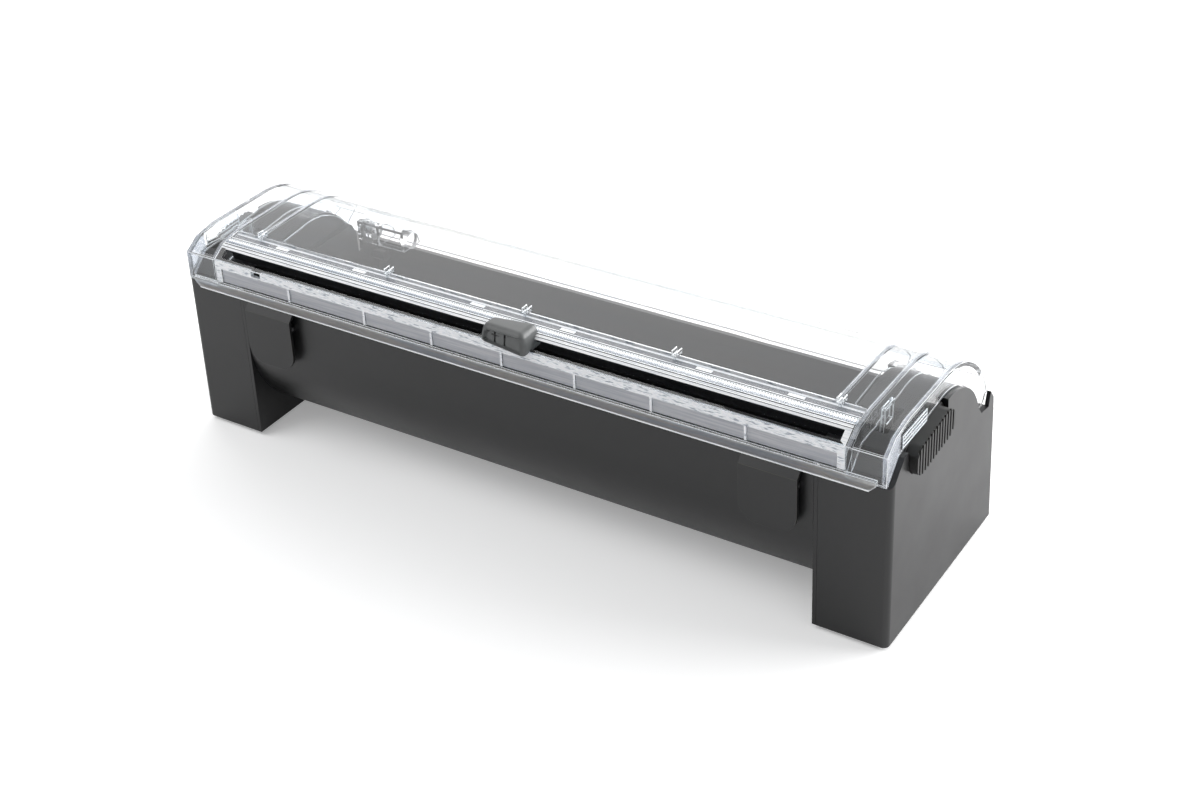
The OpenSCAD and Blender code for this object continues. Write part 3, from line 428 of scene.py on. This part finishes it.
# Lid: hazy rims at its ends and over its inner walls, a crumpled seam behind the track and a satin lip
# between two lit lines; the pads are the raised grip lines on each end face
lid = {
    "seam": 18.6, "seamLow": 95, "lip": -2.1, "lipSatin": (83.8, 88.5), "endFront": 12, "endFrom": 190,
    "rimFrom": 190.4, "rimLow": 75, "wallRims": ((174, 176), (159.1, 161.1)),
    "gripX": 192.7, "gripMiddle": (26, 100.65), "gripRows": (97.8, 99.7, 101.6, 103.5),
    "gripPosts": (14, 38), "gripRow": (0.5, 24, 0.6), "gripPost": (0.5, 0.6, 6.3)}


def onRoof(n, tilt):
    return n.z > tilt and n.y < 0.5 and abs(n.x) < 0.5


def onWallRim(c, n):
    return onRoof(n, 0.2) and any(between(abs(c.x), rim) for rim in lid["wallRims"])


def onLip(c, n):
    return looksForward(n) and c.y < frontY + lid["lip"] * mm


gripLines = [(atFront(side * lid["gripX"], lid["gripMiddle"][0], z), inMm(*lid["gripRow"]))
             for side in (-1, 1) for z in lid["gripRows"]]
gripLines += [(atFront(side * lid["gripX"], y, lid["gripMiddle"][1]), inMm(*lid["gripPost"]))
              for side in (-1, 1) for y in lid["gripPosts"]]
lidLook = {
    "edge": 0.3, "edgeFinish": litEdge, "pads": gripLines,
    "cuts": acrossX(lid["rimFrom"], *[x for low, high in lid["wallRims"] for x in (high, low)])
    + [((0, 0, z * mm), (0, 0, 1)) for z in lid["lipSatin"]] + alongRail(lid["endFront"]),
    "zones": (
        (hazyRim, lambda c, n: abs(n.x) > 0.9 and abs(c.x) > lid["endFrom"] * mm
            and c.y < frontY + lid["endFront"] * mm),
        (hazyRim, lambda c, n: onRoof(n, -0.2) and c.z > lid["rimLow"] * mm
            and abs(c.x) > lid["rimFrom"] * mm),
        (hazyRim, onWallRim),
        (crumpledBar, lambda c, n: looksForward(n) and abs(c.y - (frontY + lid["seam"] * mm)) < near
            and c.z > lid["seamLow"] * mm),
        (satinLip, onLip),
        (litEdge, lambda c, n: onLip(c, n) and not between(c.z, lid["lipSatin"])),
    )}

# Track: crumpled bar, satin window band, slot walls and undersides painted black as shade, and a milky rail
# with hazy lines drawn along it; the pads are the short light marks on the rail's rear part
track = {
    "cuts": (5.2, 7.4, 7.7, 12.6, 13, 13.3, 14.5, 17.2), "rail": (3, 18.6),
    "hazyLines": ((7.4, 7.7), (12.1, 12.6), (13, 13.3), (13.7, 17.2)),
    "barBack": 2, "barFace": -1, "bandFace": -0.2, "bandHeights": (89.2, 96.7),
    "slotFacet": (0.829, 0.559), "slotFront": (0, 6), "slotBack": (5.5, 12.3),
    "lightMarks": (-0.82, -0.541, -0.135, 0.154, 0.563, 0.822), "lightHalf": 173.6,
    "lightPlace": (15.7, 106.9), "lightSize": (8, 2.2, 0.6), "lightTop": 107.2, "lightRows": (14.5, 17.2)}
railLine = {"foot": (-1, 101.2), "facetRise": 0.675, "knee": (7, 106.6), "topRise": 0.0466}


def railHeight(y):
    # outer surface of the track: the facet up to its top edge, then the nearly level rail
    along = (y - frontY) / mm
    start, rise = ("foot", "facetRise") if along < railLine["knee"][0] else ("knee", "topRise")
    return (railLine[start][1] + (along - railLine[start][0]) * railLine[rise]) * mm


def onRail(c, n, limits):
    return n.z > 0.5 and n.y < 0.2 and c.z > railHeight(c.y) - 0.5 * mm and between(c.y - frontY, limits)


def onLightMark(c, n):
    return n.z > 0.99 and abs(c.z - track["lightTop"] * mm) < near and onRail(c, n, track["lightRows"])


trackLook = {
    "edge": 0.12, "segments": 1, "edgeFinish": litEdge,
    "pads": [(atFront(share * track["lightHalf"], *track["lightPlace"]), inMm(*track["lightSize"]))
             for share in track["lightMarks"]],
    "cuts": alongRail(*track["cuts"]),
    "hidden": lambda c: c.y > frontY + 1 * mm and c.z < railHeight(c.y) - 0.5 * mm,
    "zones": (
        (crumpledBar, lambda c, n: n.y < -0.4 and n.z > 0.5 and c.y < frontY + track["barBack"] * mm),
        (milkyRail, lambda c, n: onRail(c, n, track["rail"])),
        (hazyRim, lambda c, n: any(onRail(c, n, line) for line in track["hazyLines"])),
        (litEdge, onLightMark),
        (slotWall, lambda c, n: abs(n.y * track["slotFacet"][0] + n.z * track["slotFacet"][1]) > 0.9
            and between(c.y - frontY, track["slotFront"])),
        (slotWall, lambda c, n: looksForward(n) and between(c.y - frontY, track["slotBack"])),
        # undersides of the track too: painted shade, black where little light reaches
        (slotWall, lambda c, n: n.z < -0.7 and c.y > frontY),
        (crumpledBar, lambda c, n: looksForward(n) and abs(c.y - frontY - track["barFace"] * mm) < near),
        (satinBand, lambda c, n: looksForward(n) and between(c.z, track["bandHeights"])
            and abs(c.y - frontY - track["bandFace"] * mm) < near),
    )}

clipLook = {"edge": 0.3, "segments": 1, "edgeFinish": litEdge}
fittingLook = {"edge": 0.25, "segments": 1, "edgeFinish": litEdge}
clearLooks = {
    "lid_shell": ("lidShell", [clearSheet, litEdge, crumpledBar, satinLip, hazyRim], lidLook),
    "cutter_track": ("cutterTrack", [
        clearSheet, litEdge, crumpledBar, satinBand, milkyRail, hazyRim, slotWall], trackLook),
    "track_clips": ("trackClips", [clearSheet, litEdge], clipLook),
    "left_hinge_bracket": ("leftHingeBracket", [clearSheet, litEdge], fittingLook),
    "right_hinge_bracket": ("rightHingeBracket", [clearSheet, litEdge], fittingLook),
    "left_lid_catch": ("leftLidCatch", [clearSheet, litEdge], fittingLook),
    "right_lid_catch": ("rightLidCatch", [clearSheet, litEdge], fittingLook),
}
for nodeName, (pieceName, finishes, look) in clearLooks.items():
    dressNode(nodeName, pieceName, finishes, look)
print("clear pieces dressed")


def finishPiece(piece, pieceName, nodeName, finishes, degrees):
    # for shapes modelled here: normals outward, shaded, and set in the node's place
    piece.name = piece.data.name = pieceName
    bpy.ops.object.mode_set(mode="EDIT")
    bpy.ops.mesh.select_all(action="SELECT")
    bpy.ops.mesh.normals_make_consistent(inside=False)
    bpy.ops.object.mode_set(mode="OBJECT")
    giveFinishes(piece, finishes)
    smoothPiece(piece, degrees)
    placePiece(piece, nodeName)


def pickFaces(piece, wanted):
    # face selection by place and normal, leaving edit mode on
    bpy.ops.object.mode_set(mode="EDIT")
    bpy.ops.mesh.select_all(action="DESELECT")
    bpy.ops.object.mode_set(mode="OBJECT")
    for face in piece.data.polygons:
        face.select = wanted(face.center, face.normal)
    bpy.ops.object.mode_set(mode="EDIT")
    bpy.ops.mesh.select_mode(type="FACE")


# Toothed strip on the rail: a zigzag of fine teeth along its whole length, at a coarser pitch than the real
# strip may have, so that the teeth can be seen
teeth = {"x": 173.5, "y": (8.7, 12.1), "z": (106.1, 107.25), "depth": 0.55, "pitch": 1.4, "smoothTo": 20}


def makeTeeth(t):
    columns = 2 * round(2 * t["x"] / t["pitch"])
    step = 2 * t["x"] * mm / columns
    middle = sum(t["y"]) / 2 * mm
    bpy.ops.object.select_all(action="DESELECT")
    bpy.ops.mesh.primitive_grid_add(x_subdivisions=columns, y_subdivisions=2, size=2)
    piece = bpy.context.object
    bpy.ops.object.mode_set(mode="EDIT")
    bpy.ops.mesh.select_all(action="SELECT")
    bpy.ops.transform.resize(value=(t["x"] * mm, (t["y"][1] - t["y"][0]) / 2 * mm, 1))
    bpy.ops.transform.translate(value=(0, frontY + middle, t["z"][1] * mm))
    bpy.ops.mesh.select_all(action="DESELECT")
    bpy.ops.mesh.select_mode(type="VERT")
    bpy.ops.object.mode_set(mode="OBJECT")
    for vertex in piece.data.vertices:
        vertex.select = round((vertex.co.x + t["x"] * mm) / step) % 2 == 1
    bpy.ops.object.mode_set(mode="EDIT")
    bpy.ops.transform.translate(value=(0, 0, -t["depth"] * mm))
    bpy.ops.mesh.select_all(action="SELECT")
    bpy.ops.mesh.extrude_region_move(TRANSFORM_OT_translate={"value": (0, 0, (t["z"][0] - t["z"][1]) * mm)})
    bpy.ops.object.mode_set(mode="OBJECT")
    finishPiece(piece, "serratedStrip", "serrated_strip", [milkyRail, hazyRim], t["smoothTo"])
    for face in piece.data.polygons:
        face.material_index = int(face.center.y < frontY + middle)


makeTeeth(teeth)
print("teeth made")

# Knob: a rounded grip with a brow along its top, a scooped front face and two upright grooves
knob = {"centre": (2.6, 3.1, 105.3), "half": (13.9, 8.7, 5.8), "topShrink": (0.84, 0.78),
        "leftShrink": (0.68, 0.84), "round": 3.1, "roundSteps": 5, "scoopHalf": 11, "scoopRim": 0.9,
        "scoopMove": (0, 1.6, -0.4), "grooves": (-4.8, 1), "grooveWide": 1.1, "grooveDepth": 0.9,
        "edge": 0.4, "edgeFrom": 36, "smoothTo": 50}


def makeKnob(k):
    bpy.ops.object.select_all(action="DESELECT")
    bpy.ops.mesh.primitive_cube_add(size=2)
    piece = bpy.context.object
    bpy.ops.object.mode_set(mode="EDIT")
    bpy.ops.mesh.select_all(action="SELECT")
    bpy.ops.transform.resize(value=inMm(*k["half"]))
    pickFaces(piece, lambda c, n: n.z > 0.9)
    bpy.ops.transform.resize(value=(k["topShrink"][0], k["topShrink"][1], 1))
    pickFaces(piece, lambda c, n: n.x < -0.8)
    bpy.ops.transform.resize(value=(1, k["leftShrink"][0], k["leftShrink"][1]))
    bpy.ops.mesh.select_all(action="SELECT")
    bpy.ops.mesh.bevel(offset=k["round"] * mm, segments=k["roundSteps"], profile=0.5, affect="EDGES",
                       clamp_overlap=True)
    for x in k["grooves"]:
        for side in (-0.5, 0.5):
            bpy.ops.mesh.select_all(action="SELECT")
            bpy.ops.mesh.bisect(plane_co=((x + side * k["grooveWide"]) * mm, 0, 0), plane_no=(1, 0, 0))
    pickFaces(piece, lambda c, n: n.y < -0.93 and abs(c.x) < k["scoopHalf"] * mm)
    bpy.ops.mesh.inset(thickness=k["scoopRim"] * mm, depth=0, use_even_offset=True)
    bpy.ops.transform.translate(value=inMm(*k["scoopMove"]))
    pickFaces(piece, lambda c, n: n.y < -0.93 and any(
        abs(c.x - x * mm) < 0.45 * k["grooveWide"] * mm for x in k["grooves"]))
    bpy.ops.mesh.extrude_region_move(TRANSFORM_OT_translate={"value": (0, k["grooveDepth"] * mm, 0)})
    bpy.ops.mesh.select_all(action="SELECT")
    bpy.ops.transform.translate(value=atFront(*k["centre"]))
    bpy.ops.object.mode_set(mode="OBJECT")
    applyModifier(piece, "BEVEL", {"width": k["edge"] * mm, "segments": 2, "limit_method": "ANGLE",
                                   "angle_limit": math.radians(k["edgeFrom"]), "use_clamp_overlap": True})
    finishPiece(piece, "knobGrip", "cutter_knob", [greyAbs], k["smoothTo"])


makeKnob(knob)
print("knob made")

# Springs: each presses between the base and the piece that it pushes on; the table gives that piece and the
# spring's fixed and moving ends, and each spring is a smoothed copy of its CAD node
wireSmoothTo = 60
springs = {
    "left_button_spring": ("leftButtonSpring", "left_end_button", (-180.75, 0, 0), (-191.05, 0, 0)),
    "right_button_spring": ("rightButtonSpring", "right_end_button", (180.75, 0, 0), (191.05, 0, 0)),
    "left_latch_spring": ("leftTabSpring", "left_tab", (0, -54.1, 0), (0, -57.3, 0)),
    "right_latch_spring": ("rightTabSpring", "right_tab", (0, -54.1, 0), (0, -57.3, 0)),
}


def makeSpring(nodeName, pieceName, mover, fixedEnd, movingEnd):
    piece = copyNode(nodeName, pieceName)
    bpy.ops.object.mode_set(mode="OBJECT")
    smoothPiece(piece, wireSmoothTo)
    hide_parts(nodeName)
    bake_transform(piece)


for nodeName, parts in springs.items():
    makeSpring(nodeName, *parts)
print("springs made")

# Studio: a white sweep, a soft room that is white overhead and at its foot and greyer between, a large low
# softbox behind the right end, a weaker high one behind the left end and a small one in front of it.
# Floor and mirror lift make the paper a little brighter to the camera and in what the black plastic mirrors
studio = {
    "floorSize": 30, "floorPaint": "#f2f2f2", "floorGrain": 0.8, "floorLift": 0.27, "mirrorLift": 0.11,
    "skyStrength": 0.62, "skyTones": ((0.1, "#ffffff"), (0.3, "#c4c6c9"), (0.6, "#c4c6c9"), (0.8, "#ffffff")),
}
softboxes = {
    "rearRightSoftbox": {"place": (1.2, 1.3, 0.5), "aim": (0.19, 0, 0.05), "size": (2.4, 1.5), "watts": 92},
    "rearLeftSoftbox": {"place": (-1.05, 1.2, 1.2), "aim": (0, 0, 0.08), "size": (1.8, 1.8), "watts": 17},
    "frontLeftSoftbox": {"place": (-0.75, -0.6, 1.1), "aim": (-0.1, 0, 0.08), "size": (0.9, 0.9), "watts": 7},
}
world = bpy.data.worlds.new("paleStudio")
bpy.context.scene.world = world
world.use_nodes = True
world.node_tree.nodes.clear()
skyPlace = addNode(world, "ShaderNodeTexCoord")
skyHeight = addNode(world, "ShaderNodeSeparateXYZ", None, {"Vector": (skyPlace, "Generated")})
skyTone = addNode(world, "ShaderNodeValToRGB", {"stops": studio["skyTones"]}, {"Fac": (skyHeight, "Z")})
sky = addNode(world, "ShaderNodeBackground", {"Strength": studio["skyStrength"]},
              {"Color": (skyTone, "Color")})
addNode(world, "ShaderNodeOutputWorld", None, {"Surface": (sky, "Background")})
bpy.context.scene.view_settings.view_transform = "Standard"

# White paper, matt, with a faint fibre grain
floorSheet = startMaterial("whitePaperSweep")
floorPlace = addNode(floorSheet, "ShaderNodeTexCoord")
floorGrain = addNode(floorSheet, "ShaderNodeTexNoise",
                     {"Scale": 1 / (studio["floorGrain"] * mm), "Detail": 2},
                     {"Vector": (floorPlace, "Object")})
floorBump = addNode(floorSheet, "ShaderNodeBump", {"Strength": 0.1, "Distance": 0.02 * mm},
                    {"Height": (floorGrain, "Fac")})
paper = addNode(floorSheet, "ShaderNodeBsdfPrincipled",
                {"Base Color": hexColour(studio["floorPaint"]), "Roughness": 0.9, "Specular IOR Level": 0.2},
                {"Normal": (floorBump, "Normal")})
floorPath = addNode(floorSheet, "ShaderNodeLightPath")
seenBy = addNode(floorSheet, "ShaderNodeMath", {"operation": "MAXIMUM"},
                 {0: (floorPath, "Is Camera Ray"), 1: (floorPath, "Is Transmission Ray")})
mirrored = addNode(floorSheet, "ShaderNodeMath", {"operation": "MULTIPLY", 1: studio["mirrorLift"]},
                   {0: (floorPath, "Is Glossy Ray")})
lift = addNode(floorSheet, "ShaderNodeMath", {"operation": "MULTIPLY_ADD", 1: studio["floorLift"]},
               {0: (seenBy, "Value"), 2: (mirrored, "Value")})
glow = addNode(floorSheet, "ShaderNodeEmission", {"Color": (1, 1, 1, 1)}, {"Strength": (lift, "Value")})
floorSum = addNode(floorSheet, "ShaderNodeAddShader", None, {0: (paper, "BSDF"), 1: (glow, "Emission")})
addNode(floorSheet, "ShaderNodeOutputMaterial", None, {"Surface": (floorSum, "Shader")})

bpy.ops.object.select_all(action="DESELECT")
bpy.ops.mesh.primitive_plane_add(size=studio["floorSize"])
floor = bpy.context.object
floor.name = "paleFloor"
floor.data.materials.append(floorSheet)

for boxName, box in softboxes.items():
    boxData = bpy.data.lights.new(boxName, "AREA")
    boxData.shape = "RECTANGLE"
    boxData.size, boxData.size_y = box["size"]
    boxData.energy = box["watts"]
    softbox = bpy.data.objects.new(boxName, boxData)
    bpy.context.scene.collection.objects.link(softbox)
    softbox.location = box["place"]
    softbox.rotation_euler = (Vector(box["aim"]) - softbox.location).to_track_quat("-Z", "Y").to_euler()
    softbox.visible_camera = False
    softbox.visible_transmission = False
print("studio lit")
